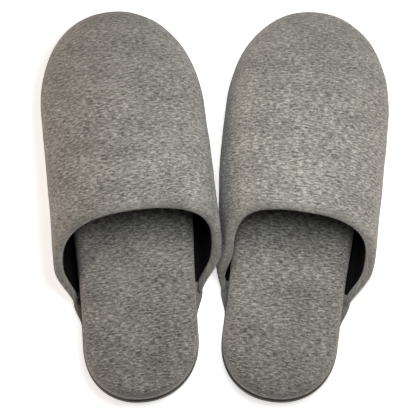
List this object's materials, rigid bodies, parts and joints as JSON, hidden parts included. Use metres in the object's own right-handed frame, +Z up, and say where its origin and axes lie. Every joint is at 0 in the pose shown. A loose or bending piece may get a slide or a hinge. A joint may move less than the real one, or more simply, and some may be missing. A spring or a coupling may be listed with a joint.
{
  "type": "slippers",
  "caption": "Pair of closed-toe, open-heel spa slippers in grey melange jersey, with padded vamps, cushioned fabric-covered footbeds and thin flat foam outsoles.",
  "frame": {"origin": "middle of the pair's overall box, on the floor", "axes": "+Y from the heels towards the toes, +X from the left slipper to the right one, +Z up"},
  "size_m": [0.246, 0.2822, 0.0651],
  "materials": {
    "jersey": "matte melange knit",
    "lining": "matte cloth",
    "padding": "soft open foam",
    "stiffener": "non-woven",
    "board": "matte fibreboard",
    "sole_foam": "matte foam",
    "thread": "sewing thread"
  },
  "bodies": {
    "left_slipper": {"left_outsole": "sole_foam", "left_bottom_filler": "padding", "left_insole_board": "board", "left_footbed_foam": "padding", "left_footbed_cover": "jersey", "left_vamp_cover": "jersey", "left_vamp_foam": "padding", "left_vamp_stiffener": "stiffener", "left_vamp_lining": "lining", "left_topline_thread": "thread"},
    "right_slipper": {"right_outsole": "sole_foam", "right_bottom_filler": "padding", "right_insole_board": "board", "right_footbed_foam": "padding", "right_footbed_cover": "jersey", "right_vamp_cover": "jersey", "right_vamp_foam": "padding", "right_vamp_stiffener": "stiffener", "right_vamp_lining": "lining", "right_topline_thread": "thread"}
  },
  "joints": [
    {"name": "right_slipper_apart", "type": "slide", "parent": "left_slipper", "child": "right_slipper", "axis": [1, 0, 0], "range_m": [0, 0.15]}
  ]
}
